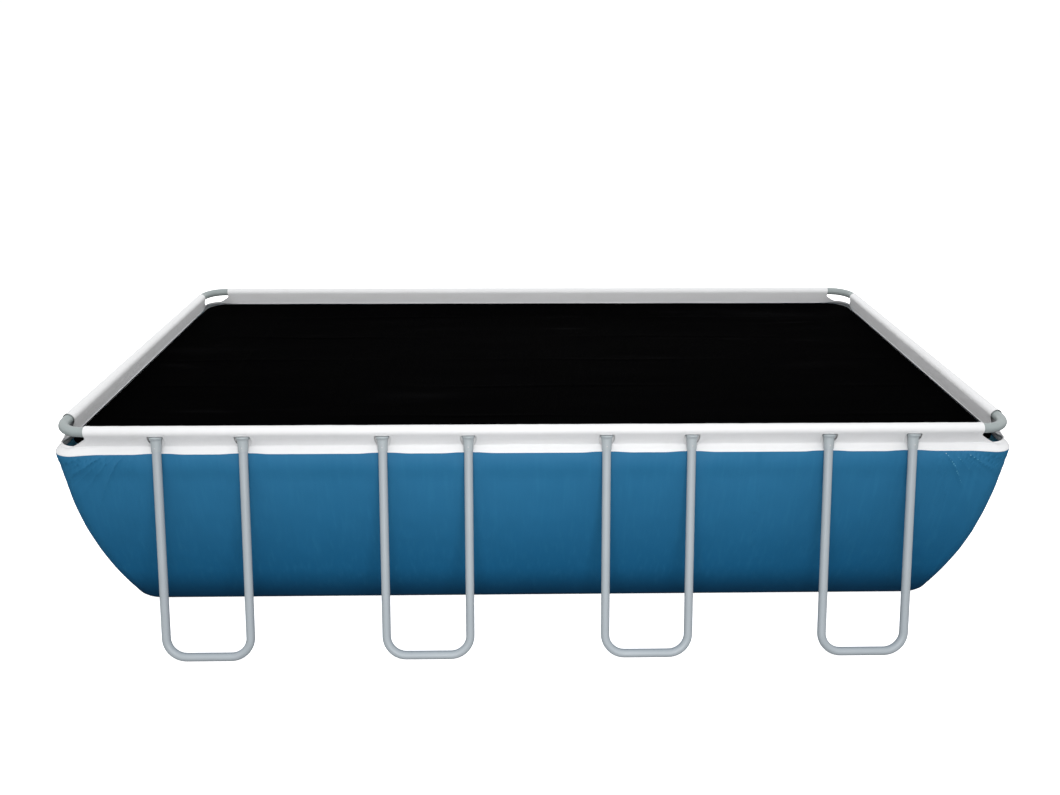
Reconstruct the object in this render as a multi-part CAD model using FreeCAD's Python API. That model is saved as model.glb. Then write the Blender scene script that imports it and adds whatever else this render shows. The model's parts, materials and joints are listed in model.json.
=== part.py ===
import FreeCAD
import Part
import math
import os

# A rectangular above-ground frame pool with a floating cover on its water line.
# Its long sides stand on U supports; its short rails span from corner to corner.
# Millimetres, +Z up, origin on the ground under the middle of the pool.
# +X runs along the long sides, and the front long side faces -Y.

V = FreeCAD.Vector

# overall size, over the outside of the rail sleeves
POOL_LENGTH = 5490.0
POOL_WIDTH = 2740.0
POOL_HEIGHT = 1320.0

# top rail: round tubes that plug into each other and into corner elbows
LONG_BEAMS = 4
SHORT_BEAMS = 2
BEAM_R = 28.5
BEAM_WALL = 1.5
SWAGE_LENGTH = 70.0
SHOULDER_LENGTH = 8.0
SWAGE_CLEARANCE = 0.2
ELBOW_BEND_R = 150.0
ELBOW_LEG = 20.0

# U-shaped side supports
LEG_SPACING = 485.0
LEG_R = 24.5
LEG_WALL = 1.5
LEG_BEND_R = 115.0
FOOT_REACH = 392.0
NECK_R = 17.0
NECK_TOP = 6.0
NECK_END = 46.0
NECK_TAPER = 14.0
LEG_CLEARANCE = 0.3

# collars that seat the legs under the rail, measured along the leg from the rail's axis
COLLAR_GAP = 1.0
COLLAR_LENGTH = 85.0
COLLAR_FLARE = 13.2
COLLAR_LIP_CHAMFER = 2.0
COLLAR_LIP_RISE = 3.0
COLLAR_LIP_DEPTH = 8.0
COLLAR_WAIST_DROP = 42.0
COLLAR_NECK_WALL = 6.0
COLLAR_WAIST_WALL = 4.2
COLLAR_WALL = 3.0
COLLAR_BACK_CLEARANCE = 1.0

# spring buttons that lock the tubes
BUTTON_R = 4.0
BUTTON_HEAD_R = 6.5
BUTTON_HEAD_T = 1.5
BUTTON_PROUD = 2.0
BUTTON_CLEARANCE = 0.3
LEAF_LENGTH = 40.0
LEAF_WIDTH = 9.0
LEAF_T = 1.0
BUTTON_DROP = 92.0

# liner sheet, rail sleeves and the white band under them
SHEET_T = 1.5
SLEEVE_GAP = 2.5
SLEEVE_STOP = 205.0
SLEEVE_CUT_MARGIN = 9.0
SLEEVE_CUT_GAP = 1.2
SLEEVE_LAP = 6.75
SEAM_DROP = 118.0
SEAM_BACK = 17.5
BAND_WIDTH = 42.0
BELLY_INSET = 3.0
BELLY_LEG_GAP = 21.0
WALL_R = 2780.0
FLOOR_FILLET_R = 100.0
CORNER_R_TOP = 100.0
CORNER_R_BOTTOM = 150.0
TOP_STRIPS = 4
WALL_STRIPS = 6
FILLET_STRIPS = 3

# floating cover
COVER_DROP = 132.0
COVER_T = 3.0
COVER_GAP = 9.0
COVER_CORNER_R = 150.0

# hose ports and drain valve in the right end wall
SEAT_GAP = 0.3
PORT_OFFSET = 150.0
PORT_BARREL_R = 28.0
PORT_BARREL_LENGTH = 30.0
PORT_FLANGE_R = 42.0
PORT_FLANGE_T = 5.0
PORT_HOLE_CLEARANCE = 0.5
PORT_BORE_R = 24.0
PORT_END_WALL = 6.0
TAIL_R = 19.0
TAIL_LENGTH = 38.0
TAIL_BORE_R = 16.0
WASHER_T = 2.5
NUT_R = 41.0
NUT_T = 14.0
THREAD_CLEARANCE = 0.3
NUT_LOBES = 10
NUT_LOBE_R = 4.0
NUT_LOBE_OUT = 1.0
GRID_RIM_T = 2.5
GRID_FACE_T = 3.0
GRID_RIM_DEPTH = 4.0
GRID_SLOT = 4.0
GRID_PITCH = 9.0
GRID_SLOTS = 7
BALL_R = 21.0
BALL_CLEARANCE = 0.3
LIP_R = 19.0
LIP_T = 3.0
SPOUT_R = 14.0
SPOUT_LENGTH = 30.0
SPOUT_BORE_R = 9.0
DRAIN_FLANGE_R = 36.0
DRAIN_BARREL_R = 20.0
DRAIN_BARREL_LENGTH = 24.0
DRAIN_BORE_R = 14.0
CAP_WALL = 4.0
CAP_END_T = 4.0
CAP_CHAMFER = 2.0
CAP_GAP = 2.0
CAP_RIBS = 12
CAP_RIB_R = 1.6
CAP_RIB_LOW = 2.0
CAP_RIB_HIGH = 4.0
PLUG_CLEARANCE = 0.3
PLUG_HEAD_R = 19.0
PLUG_HEAD_T = 4.0
PLUG_STEM = 12.0
PLUG_TAB_LENGTH = 14.0
PLUG_TAB_WIDTH = 16.0
PLUG_TAB_T = 3.0

# values worked out from the sizes above
SLEEVE_R = BEAM_R + SLEEVE_GAP + SHEET_T
AXIS_Z = POOL_HEIGHT - SLEEVE_R
LEG_DROP = AXIS_Z - LEG_R
LEG_LENGTH = math.hypot(LEG_DROP, FOOT_REACH)
LEAN = math.degrees(math.atan2(FOOT_REACH, LEG_DROP))
BEAM_IN = BEAM_R - BEAM_WALL
SWAGE_R = BEAM_IN - SWAGE_CLEARANCE
SWAGE_IN = SWAGE_R - BEAM_WALL
ELBOW_END = SLEEVE_R + ELBOW_BEND_R + ELBOW_LEG
SEAM_Z = POOL_HEIGHT - SEAM_DROP
BAND_Z = SEAM_Z - BAND_WIDTH
SEAM_INSET = SLEEVE_R + SEAM_BACK
LEG_FACE_INSET = SLEEVE_R + LEG_R / math.cos(math.radians(LEAN))
BELLY_Z = AXIS_Z - (LEG_FACE_INSET - BELLY_INSET + BELLY_LEG_GAP) / math.tan(math.radians(LEAN))
COVER_Z = POOL_HEIGHT - COVER_DROP
COVER_INSET = 2 * SLEEVE_R + COVER_GAP
LEG_BORE = LEG_R + LEG_CLEARANCE
COLLAR_TOP = BEAM_R + COLLAR_GAP
COLLAR_TOP_R = LEG_BORE + COLLAR_FLARE
SLEEVE_CUT_R = COLLAR_TOP_R + SLEEVE_CUT_MARGIN
SLEEVE_CUT_INSET = SEAM_INSET + SHEET_T / 2 - SLEEVE_LAP

# name: turn about +Z from the front, length, depth across the pool, beams, U supports
SIDES = {
    "front": (0.0, POOL_LENGTH, POOL_WIDTH, LONG_BEAMS, LONG_BEAMS),
    "right": (90.0, POOL_WIDTH, POOL_LENGTH, SHORT_BEAMS, 0),
    "back": (180.0, POOL_LENGTH, POOL_WIDTH, LONG_BEAMS, LONG_BEAMS),
    "left": (270.0, POOL_WIDTH, POOL_LENGTH, SHORT_BEAMS, 0),
}


def save(name, solids):
    """Write one node: a solid, or a group of separate solids."""
    if len(solids) == 1:
        shape = solids[0]
    else:
        shape = Part.makeCompound(solids)
    shape.exportStep("parts/" + name + ".step")


def lathe(points):
    """Turn a closed outline of (radius, height) points about the Z axis."""
    corners = [V(r, 0, z) for r, z in points]
    face = Part.Face(Part.makePolygon(corners + [corners[0]]))
    return face.revolve(V(0, 0, 0), V(0, 0, 1), 360)


def ring(r_out, r_in, low, high):
    return lathe([(r_in, low), (r_out, low), (r_out, high), (r_in, high)])


def rod(r, low, high):
    return Part.makeCylinder(r, high - low, V(0, 0, low))


def placed(shape, at, axis):
    """A copy with local +Z turned to axis and the local origin moved to at."""
    copy = shape.copy()
    turn = FreeCAD.Rotation(V(0, 0, 1), axis)
    copy.Placement = FreeCAD.Placement(at, turn).multiply(copy.Placement)
    return copy


def on_side(shape, turn):
    """A copy of a piece built for the front side, turned to another side."""
    copy = shape.copy()
    copy.rotate(V(0, 0, 0), V(0, 0, 1), turn)
    return copy


def bay_middles(length, bays):
    """Middles of the equal bays between a side's sleeve ends."""
    pitch = (length - 2 * SLEEVE_STOP) / bays
    return [(i - (bays - 1) / 2) * pitch for i in range(bays)]


def leg_places(middles):
    """Places of every leg of the supports that stand at middles."""
    return [m + s * LEG_SPACING / 2 for m in middles for s in (-1, 1)]


def joint_places(length, bays):
    """Places of the tube joints along one side, elbow joints included."""
    middles = bay_middles(length, bays)
    end = length / 2 - ELBOW_END
    return [-end] + [(a + b) / 2 for a, b in zip(middles, middles[1:])] + [end]


def rail_point(x, depth):
    return V(x, -(depth / 2 - SLEEVE_R), AXIS_Z)


# along a leg of the front side, downwards, and out of its outer face
LEG_AXIS = V(0, -math.sin(math.radians(LEAN)), -math.cos(math.radians(LEAN)))
LEG_OUT = V(0, -math.cos(math.radians(LEAN)), math.sin(math.radians(LEAN)))


def button_hole(clearance):
    """Cutter for a spring button's hole, along local +Z from the tube's axis."""
    return rod(BUTTON_R + clearance, 0, COLLAR_TOP_R)


def spring_button(tube_in, top):
    """A domed button on its head and leaf, along local +Z; the leaf lies along local X."""
    head_top = math.sqrt(tube_in ** 2 - BUTTON_HEAD_R ** 2) - BUTTON_CLEARANCE
    head_low = head_top - BUTTON_HEAD_T
    stem = rod(BUTTON_R, head_low, top)
    dome_r = 2 * BUTTON_R
    dome = Part.makeSphere(dome_r, V(0, 0, top - dome_r))
    stem = stem.common(dome.fuse(rod(BUTTON_R, head_low, top - BUTTON_R)))
    head = rod(BUTTON_HEAD_R, head_low, head_top)
    corner = V(-LEAF_LENGTH / 2, -LEAF_WIDTH / 2, head_low - LEAF_T)
    leaf = Part.makeBox(LEAF_LENGTH, LEAF_WIDTH, LEAF_T, corner)
    return stem.fuse([head, leaf]).removeSplitter()


def beam(start, end, plugs_in, legs, depth):
    """A rail tube; plugs_in gives its far end a reduced length that enters the next tube."""
    length = end - start
    if plugs_in:
        outline = [
            (BEAM_IN, 0),
            (BEAM_R, 0),
            (BEAM_R, length - SHOULDER_LENGTH),
            (SWAGE_R, length),
            (SWAGE_R, length + SWAGE_LENGTH),
            (SWAGE_IN, length + SWAGE_LENGTH),
            (SWAGE_IN, length),
            (BEAM_IN, length - SHOULDER_LENGTH),
        ]
    else:
        outline = [(BEAM_IN, 0), (BEAM_R, 0), (BEAM_R, length), (BEAM_IN, length)]
    tube = placed(lathe(outline), rail_point(start, depth), V(1, 0, 0))
    cutters = []
    for x in legs:
        if start < x < end:
            leg_hole = rod(NECK_R + LEG_CLEARANCE, 0, 2 * BEAM_R)
            cutters.append(placed(leg_hole, rail_point(x, depth), LEG_AXIS))
    return tube.cut(cutters)


def lock_places(length, bays):
    """Places of the spring buttons along one side: halfway along each plugged-in end."""
    joints = joint_places(length, bays)
    half = SWAGE_LENGTH / 2
    return [joints[0] + half] + [x + half for x in joints[1:-1]] + [joints[-1] - half]


def elbow(sx, sy):
    """A corner tube whose two reduced ends enter the rails; sx and sy name the corner."""
    across = SLEEVE_R + ELBOW_BEND_R
    centre = V(sx * (POOL_LENGTH / 2 - across), sy * (POOL_WIDTH / 2 - across), AXIS_Z)
    first = {(1, -1): 270, (1, 1): 0, (-1, 1): 90, (-1, -1): 180}[(sx, sy)]
    outer = Part.makeTorus(ELBOW_BEND_R, BEAM_R, centre, V(0, 0, 1), -180, 180, 90)
    inner = Part.makeTorus(ELBOW_BEND_R, BEAM_IN, centre, V(0, 0, 1), -180, 180, 90)
    bend = outer.cut(inner)
    bend.rotate(centre, V(0, 0, 1), first)
    outline = [
        (BEAM_IN, 0),
        (BEAM_R, 0),
        (BEAM_R, ELBOW_LEG - SHOULDER_LENGTH),
        (SWAGE_R, ELBOW_LEG),
        (SWAGE_R, ELBOW_LEG + SWAGE_LENGTH),
        (SWAGE_IN, ELBOW_LEG + SWAGE_LENGTH),
        (SWAGE_IN, ELBOW_LEG),
        (BEAM_IN, ELBOW_LEG - SHOULDER_LENGTH),
    ]
    end = lathe(outline)
    long_end = placed(end, centre + V(0, sy * ELBOW_BEND_R, 0), V(-sx, 0, 0))
    short_end = placed(end, centre + V(sx * ELBOW_BEND_R, 0, 0), V(0, -sy, 0))
    return bend.fuse([long_end, short_end]).removeSplitter()


def bend_corner(sx, r):
    """A quarter ring at a lower corner of a U support, in the XZ plane."""
    centre = V(sx * (LEG_SPACING / 2 - LEG_BEND_R), 0, -(LEG_LENGTH - LEG_BEND_R))
    turn = Part.makeTorus(LEG_BEND_R, r, centre, V(0, -1, 0), -180, 180, 90)
    lowest = V(centre.x + sx * LEG_BEND_R / 2, 0, centre.z - LEG_BEND_R / 2)
    for quarter in range(4):
        trial = turn.copy()
        trial.rotate(centre, V(0, 1, 0), 90 * quarter)
        middle = trial.CenterOfMass
        if (middle - lowest).Length < LEG_BEND_R / 2:
            return trial
    raise ValueError("no quarter of the ring lies at the lower corner")


def u_support():
    """One U-shaped support under the rail's axis, before it leans out."""
    shoulder = NECK_END + NECK_TAPER
    straight_end = LEG_LENGTH - LEG_BEND_R
    neck_in = NECK_R - LEG_WALL
    leg_in = LEG_R - LEG_WALL
    leg = lathe([
        (neck_in, -NECK_TOP),
        (NECK_R, -NECK_TOP),
        (NECK_R, -NECK_END),
        (LEG_R, -shoulder),
        (LEG_R, -straight_end),
        (leg_in, -straight_end),
        (leg_in, -shoulder),
        (neck_in, -NECK_END),
    ])
    pieces = []
    for sx in (-1, 1):
        side = leg.copy()
        side.translate(V(sx * LEG_SPACING / 2, 0, 0))
        pieces.append(side)
        pieces.append(bend_corner(sx, LEG_R).cut(bend_corner(sx, leg_in)))
    bar_half = LEG_SPACING / 2 - LEG_BEND_R
    bar = ring(LEG_R, leg_in, -bar_half, bar_half)
    pieces.append(placed(bar, V(0, 0, -LEG_LENGTH), V(1, 0, 0)))
    support = pieces[0].fuse(pieces[1:]).removeSplitter()
    support.rotate(V(0, 0, 0), V(1, 0, 0), -LEAN)
    return support


def collar():
    """The flared seat between a leg and the rail, along local +Z from the rail's axis."""
    low = COLLAR_TOP + COLLAR_LENGTH
    shoulder = NECK_END + NECK_TAPER
    body = lathe([
        (NECK_R + LEG_CLEARANCE, COLLAR_TOP),
        (COLLAR_TOP_R - COLLAR_LIP_CHAMFER, COLLAR_TOP),
        (COLLAR_TOP_R, COLLAR_TOP + COLLAR_LIP_RISE),
        (COLLAR_TOP_R, COLLAR_TOP + COLLAR_LIP_DEPTH),
        (LEG_BORE + COLLAR_NECK_WALL, COLLAR_TOP + COLLAR_WAIST_DROP / 2),
        (LEG_BORE + COLLAR_WAIST_WALL, COLLAR_TOP + COLLAR_WAIST_DROP),
        (LEG_BORE + COLLAR_WALL, low),
        (LEG_BORE, low),
        (LEG_BORE, shoulder + LEG_CLEARANCE),
        (NECK_R + LEG_CLEARANCE, NECK_END + LEG_CLEARANCE),
    ])
    rail = rod(BEAM_R + LEG_CLEARANCE, -2 * COLLAR_TOP_R, 2 * COLLAR_TOP_R)
    return body.cut(placed(rail, V(0, 0, 0), V(1, 0, 0)))


def tangent_points(apex, centre, r):
    """Where the two tangents from apex touch a circle, as (y, z) pairs."""
    dy = apex[0] - centre[0]
    dz = apex[1] - centre[1]
    towards = math.atan2(dz, dy)
    spread = math.acos(r / math.hypot(dy, dz))
    angles = (towards + spread, towards - spread)
    return [(centre[0] + r * math.cos(a), centre[1] + r * math.sin(a)) for a in angles]


def drop_solid(apex, centre, r, start, end):
    """A bar along X with a drop-shaped section: a circle and its tangents to apex."""
    first, second = tangent_points(apex, centre, r)
    away = math.hypot(centre[0] - apex[0], centre[1] - apex[1])
    top = (centre[0] + (centre[0] - apex[0]) / away * r, centre[1] + (centre[1] - apex[1]) / away * r)
    points = [V(start, y, z) for y, z in (apex, first, top, second)]
    edges = [
        Part.makeLine(points[0], points[1]),
        Part.Arc(points[1], points[2], points[3]).toShape(),
        Part.makeLine(points[3], points[0]),
    ]
    return Part.Face(Part.Wire(edges)).extrude(V(end - start, 0, 0))


def sleeve_section(depth, t, half):
    """The room within a front or back sleeve, t inside its outer face."""
    centre = (-(depth / 2 - SLEEVE_R), AXIS_Z)
    apex = (-(depth / 2 - SEAM_INSET - SHEET_T / 2), SEAM_Z)
    away = math.hypot(centre[0] - apex[0], centre[1] - apex[1])
    rise = t * away / SLEEVE_R
    inner_apex = tuple(a + (c - a) / away * rise for a, c in zip(apex, centre))
    return drop_solid(inner_apex, centre, SLEEVE_R - t, -half, half)


def sleeve(length, depth, legs):
    """The liner's white sleeve round one rail, its outer flap cut away round each leg."""
    half = length / 2 - SLEEVE_STOP
    outside = sleeve_section(depth, 0, half)
    outer_side = V(-length / 2, -(depth / 2 - SLEEVE_CUT_INSET) - POOL_HEIGHT, 0)
    outer_half = Part.makeBox(length, POOL_HEIGHT, POOL_HEIGHT, outer_side)
    cutters = [sleeve_section(depth, SHEET_T, half + 1)]
    for x in legs:
        around_collar = rod(SLEEVE_CUT_R, COLLAR_TOP - SLEEVE_CUT_GAP, COLLAR_TOP + COLLAR_LENGTH)
        around_neck = rod(NECK_R + SLEEVE_GAP, 0, COLLAR_TOP)
        for cutter in (around_collar, around_neck):
            cutters.append(placed(cutter, rail_point(x, depth), LEG_AXIS).common(outer_half))
    return outside.cut(cutters)


def wall_profile(t):
    """Stations (inset, height) down the wall's face, t inside its outer face."""
    top_rise = SEAM_Z - BELLY_Z
    top_in = SEAM_INSET - BELLY_INSET
    top_r = (top_rise ** 2 + top_in ** 2) / (2 * top_in)
    fillet_dz = BELLY_Z - FLOOR_FILLET_R
    fillet_dx = math.sqrt((WALL_R - FLOOR_FILLET_R) ** 2 - fillet_dz ** 2)
    wall_end = math.atan2(fillet_dz, fillet_dx)
    top_start = math.asin(top_rise / top_r)
    band = math.asin((BAND_Z - BELLY_Z) / top_r)
    stations = []
    top_angles = [top_start] + [band * (1 - i / TOP_STRIPS) for i in range(TOP_STRIPS)]
    for a in top_angles:
        r = top_r - t
        stations.append((top_r + BELLY_INSET - r * math.cos(a), BELLY_Z + r * math.sin(a)))
    for i in range(WALL_STRIPS + 1):
        a = wall_end * i / WALL_STRIPS
        r = WALL_R - t
        stations.append((WALL_R + BELLY_INSET - r * math.cos(a), BELLY_Z - r * math.sin(a)))
    fillet_inset = WALL_R + BELLY_INSET - fillet_dx
    for i in range(1, FILLET_STRIPS + 1):
        a = wall_end + (math.pi / 2 - wall_end) * i / FILLET_STRIPS
        r = FLOOR_FILLET_R - t
        stations.append((fillet_inset - r * math.cos(a), FLOOR_FILLET_R - r * math.sin(a)))
    return stations


def corner_r(z, t):
    """Plan radius of the liner's corner at a height, t inside its outer face."""
    return CORNER_R_BOTTOM + (CORNER_R_TOP - CORNER_R_BOTTOM) * z / SEAM_Z - t


def rounded_wire(half_x, half_y, r, z):
    """A rounded rectangle at height z."""
    edges = []
    cx = half_x - r
    cy = half_y - r
    slant = r * math.sqrt(0.5)
    corners = [(cx, -cy, 1, -1), (cx, cy, 1, 1), (-cx, cy, -1, 1), (-cx, -cy, -1, -1)]
    for x, y, sx, sy in corners:
        one = V(x, y + sy * r, z)
        two = V(x + sx * r, y, z)
        if sx * sy > 0:
            one, two = two, one
        middle = V(x + sx * slant, y + sy * slant, z)
        if edges:
            edges.append(Part.makeLine(edges[-1].Vertexes[-1].Point, one))
        edges.append(Part.Arc(one, middle, two).toShape())
    edges.append(Part.makeLine(edges[-1].Vertexes[-1].Point, edges[0].Vertexes[0].Point))
    return Part.Wire(edges)


def station_wire(station, t):
    """The liner's plan outline at one station."""
    inset, z = station
    return rounded_wire(POOL_LENGTH / 2 - inset, POOL_WIDTH / 2 - inset, corner_r(z, t), z)


def shell_layers():
    """The liner's wall as one closed ring for each pair of stations."""
    outer = [station_wire(station, 0) for station in wall_profile(0)]
    inner = [station_wire(station, SHEET_T) for station in wall_profile(SHEET_T)]
    layers = []
    for i in range(len(outer) - 1):
        loop = [outer[i], outer[i + 1], inner[i + 1], inner[i], outer[i]]
        faces = []
        for a, b in zip(loop, loop[1:]):
            faces += Part.makeRuledSurface(a, b).Faces
        shell = Part.makeShell(faces)
        shell.sewShape()
        layer = Part.makeSolid(shell)
        if layer.Volume < 0:
            layer.reverse()
        layers.append(layer)
    return layers


def sector(length, depth):
    """A tall prism over one side of the pool, cut off along the corner bisectors."""
    reach = POOL_WIDTH
    back = (length - min(length, depth)) / 2
    deep = depth / 2 - min(length, depth) / 2
    points = [
        V(-back, -deep, -1),
        V(back, -deep, -1),
        V(length / 2 + reach, -depth / 2 - reach, -1),
        V(-length / 2 - reach, -depth / 2 - reach, -1),
    ]
    if back == 0:
        points = points[1:]
    face = Part.Face(Part.makePolygon(points + [points[0]]))
    return face.extrude(V(0, 0, POOL_HEIGHT + 2))


def seat(strip, y):
    """Middle of a flat strip of the right wall's outer face, and the way out of it."""
    stations = wall_profile(0)
    first = TOP_STRIPS + 1 + strip
    inset_a, z_a = stations[first]
    inset_b, z_b = stations[first + 1]
    at = V(POOL_LENGTH / 2 - (inset_a + inset_b) / 2, y, (z_a + z_b) / 2)
    out = V(z_a - z_b, 0, inset_a - inset_b)
    out.normalize()
    return at, out


def port_connector(ball_seat):
    """Flanged barrel through the wall with a plain hose tail, along local +Z outwards."""
    flange_top = -(SHEET_T + SEAT_GAP)
    face = flange_top - PORT_FLANGE_T
    end = PORT_BARREL_LENGTH + TAIL_LENGTH
    bore_end = PORT_BARREL_LENGTH - PORT_END_WALL
    bore_r = BALL_R + BALL_CLEARANCE if ball_seat else PORT_BORE_R
    mouth_r = LIP_R if ball_seat else PORT_BORE_R
    outline = [
        (mouth_r, face),
        (PORT_FLANGE_R, face),
        (PORT_FLANGE_R, flange_top),
        (PORT_BARREL_R, flange_top),
        (PORT_BARREL_R, PORT_BARREL_LENGTH),
        (TAIL_R, PORT_BARREL_LENGTH),
        (TAIL_R, end),
        (TAIL_BORE_R, end),
        (TAIL_BORE_R, bore_end),
        (bore_r, bore_end),
    ]
    if ball_seat:
        outline += [(bore_r, face + LIP_T), (mouth_r, face + LIP_T)]
    return lathe(outline)


def port_washer():
    return ring(PORT_FLANGE_R, PORT_BARREL_R + THREAD_CLEARANCE, SEAT_GAP, SEAT_GAP + WASHER_T)


def port_nut():
    """Ring nut with grip notches."""
    low = SEAT_GAP + WASHER_T
    nut = ring(NUT_R, PORT_BARREL_R + THREAD_CLEARANCE, low, low + NUT_T)
    notches = []
    for i in range(NUT_LOBES):
        a = 2 * math.pi * i / NUT_LOBES
        notch = rod(NUT_LOBE_R, low - 1, low + NUT_T + 1)
        reach = NUT_R + NUT_LOBE_OUT
        notch.translate(V(reach * math.cos(a), reach * math.sin(a), 0))
        notches.append(notch)
    return nut.cut(notches)


def strainer_grid():
    """Slotted cap that snaps over the port's flange inside the pool."""
    face = -(SHEET_T + SEAT_GAP + PORT_FLANGE_T)
    rim_in = PORT_FLANGE_R + PLUG_CLEARANCE
    rim_out = rim_in + GRID_RIM_T
    cap = lathe([
        (0, face - GRID_FACE_T),
        (rim_out, face - GRID_FACE_T),
        (rim_out, face + GRID_RIM_DEPTH),
        (rim_in, face + GRID_RIM_DEPTH),
        (rim_in, face),
        (0, face),
    ])
    slots = []
    for i in range(GRID_SLOTS):
        x = (i - (GRID_SLOTS - 1) / 2) * GRID_PITCH
        half = math.sqrt(PORT_FLANGE_R ** 2 - x ** 2) - 2 * GRID_RIM_T
        corner = V(x - GRID_SLOT / 2, -half, face - GRID_FACE_T - 1)
        slots.append(Part.makeBox(GRID_SLOT, 2 * half, GRID_FACE_T + 2, corner))
    return cap.cut(slots)


def ball_height():
    """Height of the nozzle ball's centre behind the connector's lip."""
    lip_back = -(SHEET_T + SEAT_GAP + PORT_FLANGE_T) + LIP_T
    return lip_back + math.sqrt((BALL_R + BALL_CLEARANCE) ** 2 - LIP_R ** 2)


def nozzle():
    """Ball with a spout that points into the pool."""
    z = ball_height()
    ball = Part.makeSphere(BALL_R, V(0, 0, z))
    spout = rod(SPOUT_R, z - SPOUT_LENGTH, z)
    bore = rod(SPOUT_BORE_R, z - SPOUT_LENGTH - 1, z + BALL_R + 1)
    return ball.fuse(spout).cut(bore)


def drain_body():
    flange_top = -(SHEET_T + SEAT_GAP)
    face = flange_top - PORT_FLANGE_T
    return lathe([
        (DRAIN_BORE_R, face),
        (DRAIN_FLANGE_R, face),
        (DRAIN_FLANGE_R, flange_top),
        (DRAIN_BARREL_R, flange_top),
        (DRAIN_BARREL_R, DRAIN_BARREL_LENGTH),
        (DRAIN_BORE_R, DRAIN_BARREL_LENGTH),
    ])


def drain_cap():
    """Ribbed cap over the drain barrel."""
    cap_in = DRAIN_BARREL_R + THREAD_CLEARANCE
    cap_out = cap_in + CAP_WALL
    low = CAP_GAP
    inner_end = DRAIN_BARREL_LENGTH + CAP_GAP
    top = inner_end + CAP_END_T
    cap = lathe([
        (cap_in, low),
        (cap_out, low),
        (cap_out, top - CAP_CHAMFER),
        (cap_out - CAP_CHAMFER, top),
        (0, top),
        (0, inner_end),
        (cap_in, inner_end),
    ])
    ribs = []
    for i in range(CAP_RIBS):
        a = 2 * math.pi * i / CAP_RIBS
        rib = rod(CAP_RIB_R, low + CAP_RIB_LOW, top - CAP_RIB_HIGH)
        rib.translate(V(cap_out * math.cos(a), cap_out * math.sin(a), 0))
        ribs.append(rib)
    return cap.fuse(ribs)


def drain_plug():
    """Stopper pushed into the drain from inside, with a pull tab."""
    face = -(SHEET_T + SEAT_GAP + PORT_FLANGE_T) - SEAT_GAP
    head = rod(PLUG_HEAD_R, face - PLUG_HEAD_T, face)
    stem = rod(DRAIN_BORE_R - PLUG_CLEARANCE, face, face + PLUG_STEM)
    corner = V(-PLUG_TAB_WIDTH / 2, -PLUG_TAB_T / 2, face - PLUG_HEAD_T - PLUG_TAB_LENGTH)
    tab = Part.makeBox(PLUG_TAB_WIDTH, PLUG_TAB_T, PLUG_TAB_LENGTH + 1, corner)
    return head.fuse([stem, tab]).removeSplitter()


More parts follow.
